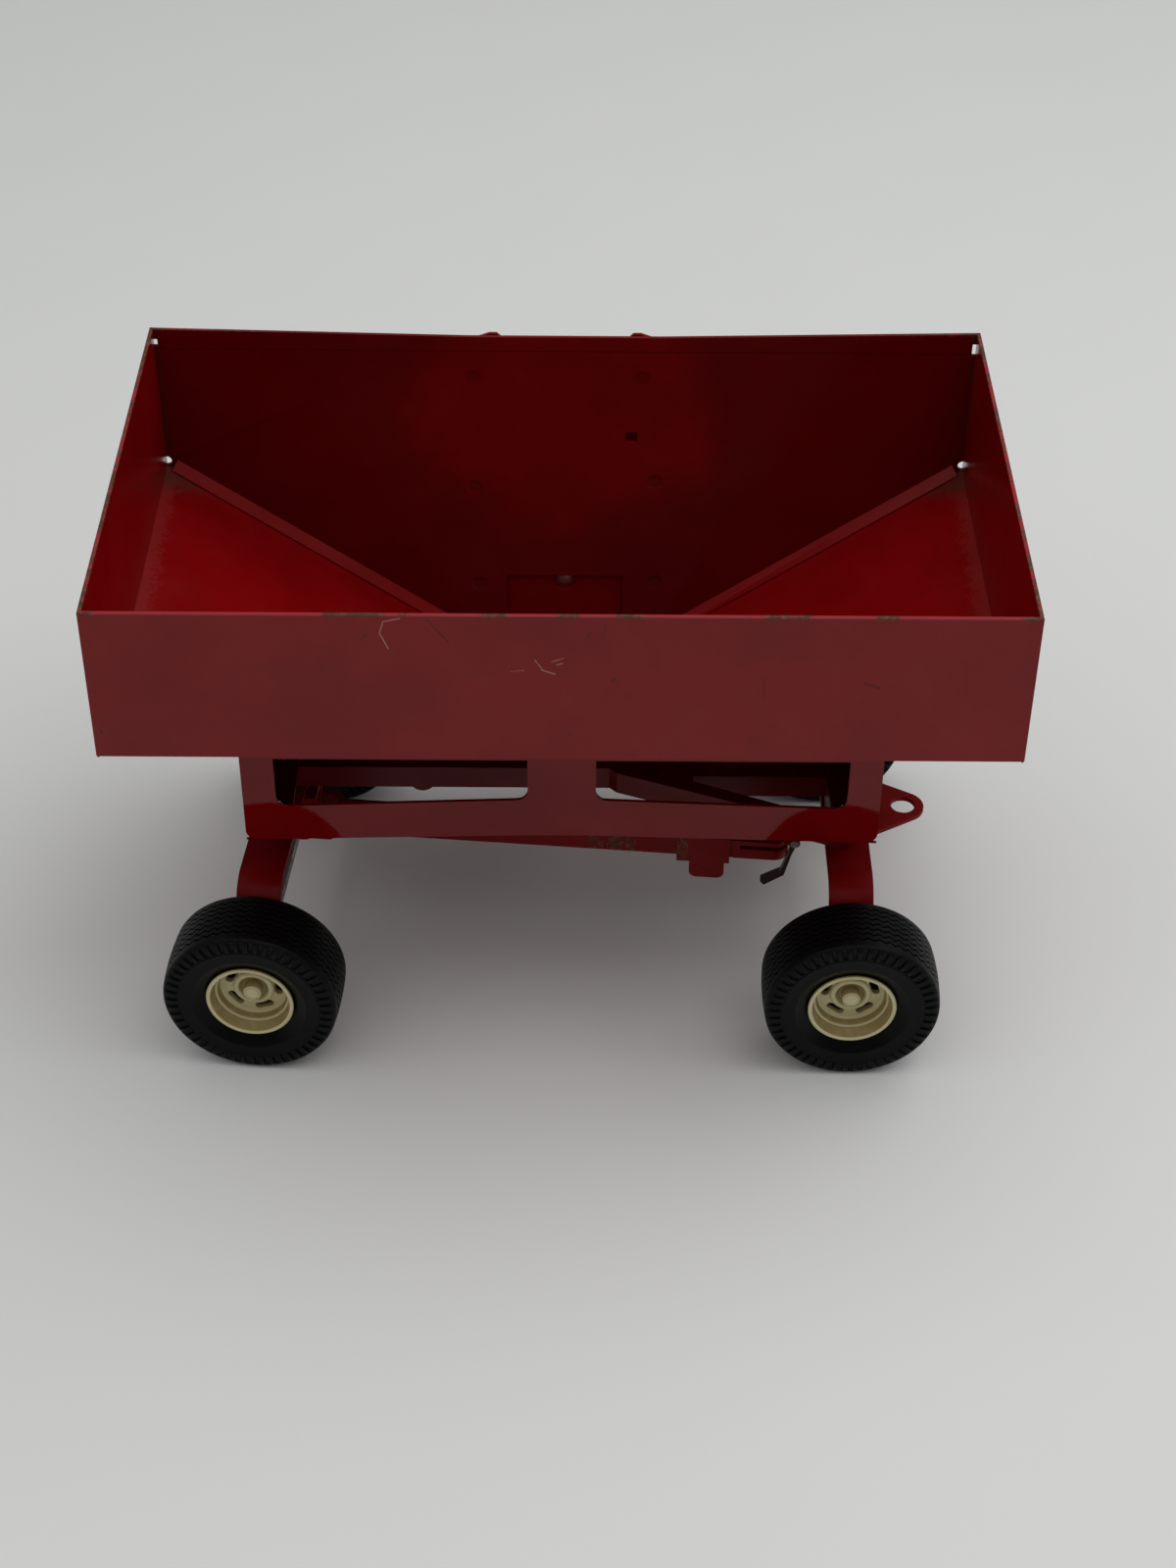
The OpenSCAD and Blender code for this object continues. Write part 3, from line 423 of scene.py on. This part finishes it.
def rubber(name):
    """Black tyre rubber: dust and painted glints on its raised edges, painted shade in the tread's
    gaps, and a shinier dish by the rim, painted darker for its reflection.
    """
    g = Graph(name)
    edge = g.edges(0.0003)
    dust = g.calc("MULTIPLY", g.step(edge, 0.03, 0.3), g.noise(0.003, 4, 0.6))
    film = g.step(g.noise(0.01, 5, 0.7, seed=1.0), 0.35, 0.8, 0.0, 0.5)
    tone = g.mix(film, RUBBER, RUBBER_FILM)
    # dust on the raised edges, pale enough to stand also for painted glints
    tone = g.mix(g.calc("MULTIPLY", dust, 0.6), tone, RUBBER_DUST_AND_GLINT)
    # painted shade: near black in the tread's gaps, found by occlusion
    close = g.node("ShaderNodeAmbientOcclusion", {"Distance": 0.0012}, samples=8).outputs["AO"]
    tone = g.mix(g.step(close, 0.9, 0.5), tone, RUBBER_GAP_SHADE)
    away = g.from_axis()
    dish = g.within(away, *TYRE_DISH, 0.00008)
    # painted reflection: the dish made darker, as it mirrors the wagon's dark underside
    tone = g.mix(dish, tone, RUBBER_DISH_REFLECTION)
    rough = g.calc("ADD", 0.38, g.calc("MULTIPLY", g.noise(0.005, 4, 0.6, seed=3.0), 0.2))
    rough = g.calc("MULTIPLY_ADD", dish, -0.15, rough)
    g.bump((g.noise(0.0008, 3, 0.6, seed=7.0), 0.00003))
    return g.finish(color=tone, rough=rough, spec=0.13)


def steel(name, tone=(0.42, 0.4, 0.37), dark=(0.12, 0.09, 0.07)):
    """Dull bare steel with brown tarnish and fine scratches."""
    g = Graph(name)
    rust = g.step(g.noise(0.003, 5, 0.7), 0.4, 0.65)
    color = g.mix(rust, tone, dark)
    scratch = g.noise(0.0004, 2, 0.5, stretch=(1, 6, 1))
    rough = g.calc("ADD", 0.3, g.calc("MULTIPLY", rust, 0.3))
    metal = g.step(rust, 0.0, 1.0, 0.95, 0.5)
    g.bump((scratch, 0.00001), (g.noise(0.0015, 3, 0.6, seed=2.0), 0.00002))
    return g.finish(color=color, rough=rough, metal=metal)


def paper(name):
    """The pale, matt floor."""
    g = Graph(name)
    tone = g.mix(g.noise(0.2, 4, 0.6), FLOOR_PALE, FLOOR_DEEP)
    rough = g.step(g.noise(0.05, 3, 0.5), 0.2, 0.8, 0.55, 0.65)
    g.bump((g.noise(0.002, 3, 0.6), 0.00001))
    return g.finish(color=tone, rough=rough)


# ---- the materials ----

RED_NEAR = enamel("enamel_near_side", chips=0.3, rim="listed", dusty=0.06, marks=True,
                  shade=0.88)
RED_BOX = enamel("enamel_ends", chips=0.35, rim="any", dusty=0.08)
# shade 0.85 here is painted shade: a darker copy of the red for the door wall, which faces away
# from the lights
RED_DOOR_WALL = enamel("enamel_door_wall", chips=0.3, rim="any", dusty=0.06, welds=True,
                       shade=0.85)
RED_WALL = enamel("enamel_inside", chips=0.3, dusty=0.06, gloss=0.18, crease=True)
RED_GEAR = enamel("enamel_gear", chips=-2.0, dusty=0.12, gloss=0.32, shade=0.75, spec=0.1)
RED_TONGUE = enamel("enamel_tongue", chips=0.3, rubbed=[(8, 11), (13, 20), (31.5, 34.5)],
                    dusty=0.1, gloss=0.2, shade=0.75, spec=0.12)
RED_STAND = enamel("enamel_stand", chips=0.25, dusty=0.05, gloss=0.02, shade=0.78)
RED_SEAM = enamel("enamel_seams", chips=0.5, dusty=0.05, gloss=0.3, spec=0.16)
# a much darker copy of the red for the parts under the box: painted shade
RED_UNDER_SHADED = enamel("enamel_under_shaded", chips=0.4, dusty=0.2, gloss=0.25, shade=0.4, spec=0.2)
CREAM = plastic("cream_plastic")
TYRE = rubber("tyre_rubber")
STEEL = steel("bare_steel")
AXLE_STEEL = steel("axle_steel", (0.36, 0.32, 0.31), (0.24, 0.2, 0.19))
DARK_STEEL = steel("tarnished_steel", (0.05, 0.026, 0.02), (0.02, 0.009, 0.007))


# ---- carried-over CAD nodes: eased edges and a finish of their own ----

BOX_FINISH = {"near_side_panel": RED_NEAR, "front_end_panel": RED_BOX,
              "rear_end_panel": RED_BOX, "door_side_wall": RED_DOOR_WALL}
STEEL_NODES = {"kingpin", "kingpin_spacer", "rear_axle", "front_axle", "tongue_pin",
               "latch_pin", "hitch_latch", "door_rivet"}
SMALL_NODES = {"latch_pin", "hitch_latch", "door_rivet", "door_pull"}
EASE, EASE_SMALL = 0.00022, 0.00012
WHEEL_NODES = {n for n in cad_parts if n.endswith(("_rim", "_tyre", "_cap"))}


def ease(o, width):
    """Rounds a CAD node's sharp edges with modifiers."""
    weld = o.modifiers.new("weld", "WELD")
    weld.merge_threshold = 0.02 * MM
    bevel = o.modifiers.new("ease", "BEVEL")
    bevel.width = width
    bevel.segments = 3
    bevel.limit_method = "ANGLE"
    bevel.angle_limit = math.radians(32)
    bevel.harden_normals = True
    bevel.miter_outer = "MITER_ARC"


def finish_of(node):
    """The material of a carried-over CAD node."""
    if node == "hitch_latch":
        return DARK_STEEL
    if node in ("front_axle", "rear_axle"):
        return AXLE_STEEL
    if node in STEEL_NODES:
        return STEEL
    if node in BOX_FINISH:
        return BOX_FINISH[node]
    if "floor" in node:
        return RED_WALL
    if "seam" in node:
        return RED_SEAM
    if node.startswith("stand"):
        return RED_STAND
    if "reach" in node or "hound" in node or "bolster" in node:
        return RED_UNDER_SHADED
    if node in ("tongue_bar", "tongue_saddle", "hitch_clevis"):
        return RED_TONGUE
    return RED_GEAR


def ease_of(node):
    """How far a node's edges are rounded, in m."""
    return EASE_SMALL if node in SMALL_NODES else EASE


for name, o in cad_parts.items():
    if name in WHEEL_NODES:
        continue
    o.data.materials.clear()
    o.data.materials.append(finish_of(name))
    ease(o, ease_of(name))


# ---- wheels ----


def mesh_object(name, bm, material, angle=40.0):
    """A piece from a bmesh drawn in mm, smooth except where it turns sharply."""
    bmesh.ops.recalc_face_normals(bm, faces=bm.faces)
    me = bpy.data.meshes.new(name)
    bm.to_mesh(me)
    bm.free()
    me.transform(Matrix.Scale(MM, 4))
    for p in me.polygons:
        p.use_smooth = True
    me.set_sharp_from_angle(angle=math.radians(angle))
    me.materials.append(material)
    o = bpy.data.objects.new(name, me)
    SCENE.collection.objects.link(o)
    return o


def lathe(profile, count, closed=False):
    """Turns a profile of (radius, height) points round Z."""
    bm = bmesh.new()
    rings = []
    for r, z in profile:
        if r < 1e-6:
            rings.append([bm.verts.new((0, 0, z))])
        else:
            rings.append([
                bm.verts.new((r * math.cos(a), r * math.sin(a), z))
                for a in (2 * math.pi * i / count for i in range(count))
            ])
    pairs = list(zip(rings, rings[1:]))
    if closed:
        pairs.append((rings[-1], rings[0]))
    for low, high in pairs:
        for i in range(count):
            j = (i + 1) % count
            a, b = low[i % len(low)], low[j % len(low)]
            c, d = high[j % len(high)], high[i % len(high)]
            corners = list(dict.fromkeys([a, b, c, d]))
            if len(corners) > 2:
                bm.faces.new(corners)
    return bm


def fillet(points, steps=4):
    """Rounds a polyline of (radius, height, round) at each corner but its two ends."""
    out = []
    for i, (x, y, r) in enumerate(points):
        p = Vector((x, y))
        if r == 0 or i in (0, len(points) - 1):
            out.append(p)
            continue
        a = Vector(points[i - 1][:2]) - p
        b = Vector(points[i + 1][:2]) - p
        angle = a.angle(b)
        cut = min(r / math.tan(angle / 2), a.length * 0.49, b.length * 0.49)
        start, end = p + a.normalized() * cut, p + b.normalized() * cut
        for k in range(steps + 1):
            t = k / steps
            out.append(start * (1 - t) ** 2 + p * 2 * t * (1 - t) + end * t * t)
    return [(v.x, v.y) for v in out]


# Tyre, in mm: half its tread's width, the cut at the tread's edge, how far that edge
# lies below the middle, the number of pitches round, and the grooves' places.
TREAD_HALF = 7.6
TREAD_CUT = 0.1
CROWN_DROP = 0.35
PITCHES = 50
GROOVES = (-5.9, -3.95, -2.0, 0.0, 2.0, 3.95, 5.9)
GROOVE_DEPTH = 0.8
GROOVE_TOP, GROOVE_FOOT = 0.3, 0.16     # half widths of a groove
# One pitch: where its columns stand, how far each shifts the grooves, which are lugs.
COLUMN_AT = (0.0, 0.06, 0.28, 0.5, 0.56, 0.78)
COLUMN_SHIFT = (0.42, 0.4, 0.0, -0.42, -0.4, 0.0)
COLUMN_IS_LUG = (0, 1, 1, 1, 0, 0)
# (radius, z) of the side wall, from the bead out to the ring line
BEAD_R, BEAD_Z = 11.45, 3.0
SIDE = [(BEAD_R, 7.0), (BEAD_R, 7.35), (12.25, 7.42), (12.55, 7.6), (15.2, 9.28),
        (15.4, 9.42), (15.65, 9.46), (18.2, 9.4), (18.5, 9.5), (18.8, 9.5),
        (19.05, 9.3), (19.35, 9.42)]
SHOULDER = [(23.05, 8.75), (23.35, 8.2), (23.42, 7.85)]
# (radius, z) from the ring line out over a lug, and down into the gap beside it
LUG = [(19.5, 9.46), (21.3, 9.46), (22.3, 9.22), (22.7, 9.0)]
LUG_GAP = [(19.5, 9.0), (21.2, 8.9), (22.1, 8.8), (22.6, 8.95)]


def tyre_mesh(material):
    """A tyre round Z: zigzag grooves in the tread, lugs round both shoulders."""
    columns = [(i + f) / PITCHES * 2 * math.pi for i in range(PITCHES) for f in COLUMN_AT]
    kinds = len(COLUMN_AT)

    def crown(z):
        """The tread's slightly domed radius at width z."""
        return TYRE_R - CROWN_DROP * (abs(z) / TREAD_HALF) ** 2

    def section(k):
        """(radius, z) round the tyre at column k, from the +Z bead to the -Z bead."""
        side = SIDE + (LUG if COLUMN_IS_LUG[k % kinds] else LUG_GAP) + SHOULDER
        tread = [(crown(TREAD_HALF), TREAD_HALF - TREAD_CUT)]
        deep = TYRE_R - GROOVE_DEPTH
        for groove in reversed(GROOVES):
            z = groove + COLUMN_SHIFT[k % kinds]
            tread += [(crown(z + GROOVE_TOP), z + GROOVE_TOP), (deep, z + GROOVE_FOOT),
                      (deep, z - GROOVE_FOOT), (crown(z - GROOVE_TOP), z - GROOVE_TOP)]
        tread.append((crown(TREAD_HALF), -TREAD_HALF + TREAD_CUT))
        inner = [(BEAD_R, -BEAD_Z), (BEAD_R, BEAD_Z)]
        return side + tread + [(r, -z) for r, z in reversed(side)] + inner

    bm = bmesh.new()
    rings = []
    for k, a in enumerate(columns):
        rings.append([bm.verts.new((r * math.cos(a), r * math.sin(a), z)) for r, z in section(k)])
    n = len(rings[0])
    for k in range(len(rings)):
        a, b = rings[k], rings[(k + 1) % len(rings)]
        for i in range(n):
            j = (i + 1) % n
            bm.faces.new((a[i], a[j], b[j], b[i]))
    return mesh_object("tyre_source", bm, material, 35)


# Rim slots, in mm: their number, pitch circle, straight half length and end radius,
# the points round each, and the z that the cutter reaches down and up to.
SLOTS = 5
SLOT_R = 6.9
SLOT_STRAIGHT, SLOT_END_R = 1.6, 1.1
SLOT_POINTS = 24
SLOT_FLOOR, SLOT_OVER = -2, 4
# Steps round a lathed rim and a lathed cap
RIM_FACETS, CAP_FACETS = 160, 64


def rim_profile(hub):
    """(radius, z, round) of the wheel's body, whose hub reaches in to z = hub."""
    return [
        # bore and inner side
        (1.76, 1.7, 0.0), (1.76, hub, 0.1), (3.55, hub, 0.2), (3.55, -3.25, 0.2),
        (10.05, -3.25, 0.2), (10.05, -8.1, 0.3), (11.85, -8.2, 0.25), (11.85, -7.45, 0.1),
        (11.38, -7.4, 0.1), (11.38, 7.4, 0.1), (11.8, 7.45, 0.1), (11.9, 8.05, 0.3),
        (11.45, 8.3, 0.3), (10.75, 8.05, 0.25),
        # bowl, step and disc
        (10.15, 4.8, 0.15), (9.55, 4.5, 0.25), (9.15, 2.7, 0.6), (8.45, 2.0, 0.5),
        (5.6, 2.0, 0.2), (5.45, 2.6, 0.2), (4.95, 2.9, 0.3), (4.3, 2.85, 0.3),
        (3.1, 1.75, 0.2), (1.76, 1.7, 0.0),
    ]


def slot_outline(turn):
    """The points round one slot, which bends along its pitch circle."""
    at = Matrix.Rotation(math.radians(turn), 4, "Z")
    ring = []
    for k in range(SLOT_POINTS):
        a = 2 * math.pi * k / SLOT_POINTS
        end = SLOT_STRAIGHT if math.sin(a) >= 0 else -SLOT_STRAIGHT
        bend = (SLOT_END_R * math.sin(a) + end) / SLOT_R
        out = SLOT_R + SLOT_END_R * math.cos(a)
        ring.append(at @ Vector((out * math.cos(bend), out * math.sin(bend), 0)))
    return ring


def rim_mesh(material, hub, turn):
    """The wheel's body round Z, with curved slots cut into its disc, turned by degrees."""
    profile = fillet(rim_profile(hub))
    body = mesh_object("rim_source", lathe(profile[:-1], RIM_FACETS, closed=True), material, 30)
    bm = bmesh.new()
    for i in range(SLOTS):
        ring = slot_outline(90 + 360 / SLOTS * i + turn)
        low = [bm.verts.new((v.x, v.y, SLOT_FLOOR)) for v in ring]
        high = [bm.verts.new((v.x, v.y, SLOT_OVER)) for v in ring]
        bm.faces.new(low[::-1])
        bm.faces.new(high)
        for k in range(SLOT_POINTS):
            j = (k + 1) % SLOT_POINTS
            bm.faces.new((low[k], low[j], high[j], high[k]))
    cutter = mesh_object("slot_cutter", bm, material)
    cut = body.modifiers.new("slots", "BOOLEAN")
    cut.operation, cut.object, cut.solver = "DIFFERENCE", cutter, "EXACT"
    soft = body.modifiers.new("soft", "BEVEL")
    soft.width, soft.segments = 0.15 * MM, 2
    soft.limit_method, soft.angle_limit = "ANGLE", math.radians(60)
    soft.harden_normals = True
    dg = bpy.context.evaluated_depsgraph_get()
    me = bpy.data.meshes.new_from_object(body.evaluated_get(dg))
    bpy.data.objects.remove(cutter)
    body.modifiers.clear()
    body.data = me
    return body


def cap_mesh(material):
    """The round cap on the end of an axle."""
    profile = fillet([
        (1.72, 1.95, 0.0), (2.5, 1.92, 0.1), (2.48, 4.5, 0.3), (2.05, 4.65, 0.12),
        (1.92, 4.5, 0.08), (1.8, 4.5, 0.08), (1.7, 4.68, 0.08), (0.0, 4.68, 0.0)])
    return mesh_object("cap_source", lathe(profile, CAP_FACETS), material, 35)


# How far each axle's rims are turned at rest, in degrees, so that their slots lie
# as they do on the object.
FRONT_TURN, REAR_TURN = -14, 2
# The running gap between an axle strap and a hub's end, and what the look adds, in mm.
STRAP_GAP, HUB_GAP = 0.2, 0.1


def place_wheels():
    """Puts the four wheels and their caps in the place of the CAD ones."""
    tyre, cap = tyre_mesh(TYRE), cap_mesh(CREAM)
    steer = Matrix.Translation((KINGPIN[0] * MM, 0, 0)) @ Matrix.Rotation(STEER, 4, "Z")
    rear = Matrix.Translation((REAR_AXLE_X * MM, 0, 0))
    for end, base, out, turn, fixed in (
            ("front", steer, FRONT_WHEEL_Y, FRONT_TURN, "front_axle_set"),
            ("rear", rear, REAR_WHEEL_Y, REAR_TURN, "wagon")):
        rim = rim_mesh(CREAM, -(out - STRAP_HALF - STRAP_GAP) + HUB_GAP, turn)
        for side, sign in (("near", -1), ("far", 1)):
            at = base @ Matrix.Translation((0, sign * out * MM, TYRE_R * MM))
            at = at @ Matrix.Rotation(math.radians(-90 * sign), 4, "X")
            for part, source, slot in (("rim", rim, "cream_plastic"),
                                       ("tyre", tyre, "tyre_rubber"),
                                       ("cap", cap, "cream_plastic")):
                o = source.copy()
                o.name = f"{end}_{side}_{part}_look"
                SCENE.collection.objects.link(o)
                o.matrix_world = at
                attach(o, fixed if part == "cap" else f"{end}_{side}_wheel")
                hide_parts(f"{end}_{side}_{part}")
        bpy.data.objects.remove(rim)
    bpy.data.objects.remove(tyre)
    bpy.data.objects.remove(cap)


place_wheels()


# ---- stage ----


FLOOR_HALF = 6
WORLD_TINT = (0.97, 0.99, 1.0, 1)
WORLD_STRENGTH = 0.18
# Lights: name, place, target and size in m, and watts.
LIGHTS = [
    ("key", (0.6, 0.2, 1.2), (0, 0, 0.05), (1.6, 1.6), 8.5),
    ("top", (-0.25, -0.25, 1.4), (0, 0, 0), (2.4, 2.2), 9.5),
]
# The camera's place in m, its pitch down, yaw and roll in degrees, and its lens in mm.
CAMERA_AT = (0.0046, -0.57437, 0.51937)
CAMERA_TURN = (39.428, 0.247, -0.505)
CAMERA_LENS = 60.75


def make_floor():
    """A wide pale floor at z = 0."""
    bm = bmesh.new()
    bmesh.ops.create_grid(bm, x_segments=8, y_segments=8, size=FLOOR_HALF)
    me = bpy.data.meshes.new("floor")
    bm.to_mesh(me)
    bm.free()
    me.materials.append(paper("floor_paper"))
    o = bpy.data.objects.new("floor", me)
    SCENE.collection.objects.link(o)


def make_light(name, where, target, size, watts):
    """A soft white area light that looks at target."""
    data = bpy.data.lights.new(name, "AREA")
    data.shape = "RECTANGLE"
    data.size, data.size_y = size
    data.energy = watts
    o = bpy.data.objects.new(name, data)
    SCENE.collection.objects.link(o)
    o.location = where
    o.rotation_mode = "QUATERNION"
    o.rotation_quaternion = (Vector(target) - Vector(where)).to_track_quat("-Z", "Y")


def make_world():
    """A dim, even light from all round."""
    world = bpy.data.worlds.new("studio")
    world.use_nodes = True
    back = world.node_tree.nodes["Background"]
    back.inputs[0].default_value = WORLD_TINT
    back.inputs[1].default_value = WORLD_STRENGTH
    SCENE.world = world


def make_camera():
    """The photograph's viewpoint, close above the near side."""
    pitch, yaw, roll = (math.radians(v) for v in CAMERA_TURN)
    forward = Vector((math.sin(yaw) * math.cos(pitch), math.cos(yaw) * math.cos(pitch),
                      -math.sin(pitch)))
    right = Vector((math.cos(yaw), -math.sin(yaw), 0))
    down = forward.cross(right)
    c, s = math.cos(roll), math.sin(roll)
    right, down = c * right + s * down, c * down - s * right
    m = Matrix((right, -down, -forward)).transposed().to_4x4()
    m.translation = CAMERA_AT
    data = bpy.data.cameras.new("camera")
    data.sensor_width = 36
    data.lens = CAMERA_LENS
    data.clip_start, data.clip_end = 0.01, 20
    cam = bpy.data.objects.new("camera", data)
    SCENE.collection.objects.link(cam)
    cam.matrix_world = m
    SCENE.camera = cam


make_floor()
make_world()
for light in LIGHTS:
    make_light(*light)
make_camera()
SCENE.view_settings.view_transform = "Standard"
SCENE.view_settings.look = "None"
